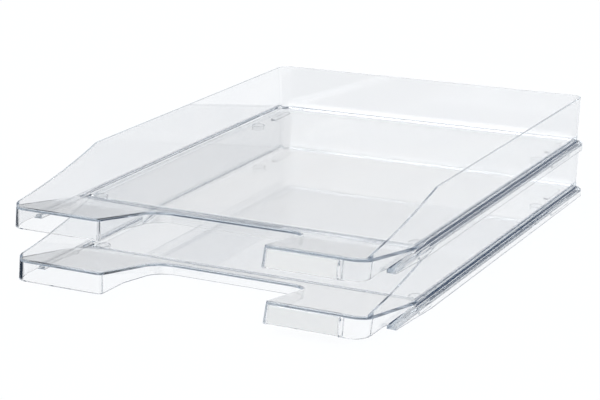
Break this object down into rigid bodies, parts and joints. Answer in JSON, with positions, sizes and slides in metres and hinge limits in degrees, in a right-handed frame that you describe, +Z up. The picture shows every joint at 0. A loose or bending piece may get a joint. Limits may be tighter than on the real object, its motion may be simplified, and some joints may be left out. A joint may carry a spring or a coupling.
{
  "type": "letter tray stack",
  "caption": "Clear stackable letter trays with ramped front tabs, a finger cut-out, side rails that sit on the tray below, and a clip-in label window with a paper card.",
  "frame": {"origin": "on the surface the stack stands on, midway across the rails and midway between the tab fronts and the back walls", "axes": "+X to the trays' right seen from the front, +Y to the back, +Z up; the tabs face -Y"},
  "size_m": [0.255, 0.356, 0.0718],
  "materials": {
    "clear_tray": "polished clear polystyrene with a faint blue-grey tint",
    "clear_cover": "polished clear polystyrene",
    "paper_card": "matt white card"
  },
  "bodies": {
    "lower_tray": {"tray_lower": "clear_tray"},
    "lower_cover": {"label_cover_lower": "clear_cover"},
    "lower_card": {"label_card_lower": "paper_card"},
    "upper_tray": {"tray_upper": "clear_tray"},
    "upper_cover": {"label_cover_upper": "clear_cover"},
    "upper_card": {"label_card_upper": "paper_card"}
  },
  "joints": [
    {"name": "upper_tray_lift", "type": "slide", "parent": "lower_tray", "child": "upper_tray", "axis": [0, 0, 1], "range_m": [0, 0.06]},
    {"name": "lower_cover_pull", "type": "slide", "parent": "lower_tray", "child": "lower_cover", "axis": [0, -1, 0], "range_m": [0, 0.02]},
    {"name": "upper_cover_pull", "type": "slide", "parent": "upper_tray", "child": "upper_cover", "axis": [0, -1, 0], "range_m": [0, 0.02]},
    {"name": "lower_card_slide", "type": "slide", "parent": "lower_tray", "child": "lower_card", "axis": [-1, 0, 0], "range_m": [0, 0.05]},
    {"name": "upper_card_slide", "type": "slide", "parent": "upper_tray", "child": "upper_card", "axis": [-1, 0, 0], "range_m": [0, 0.05]}
  ]
}
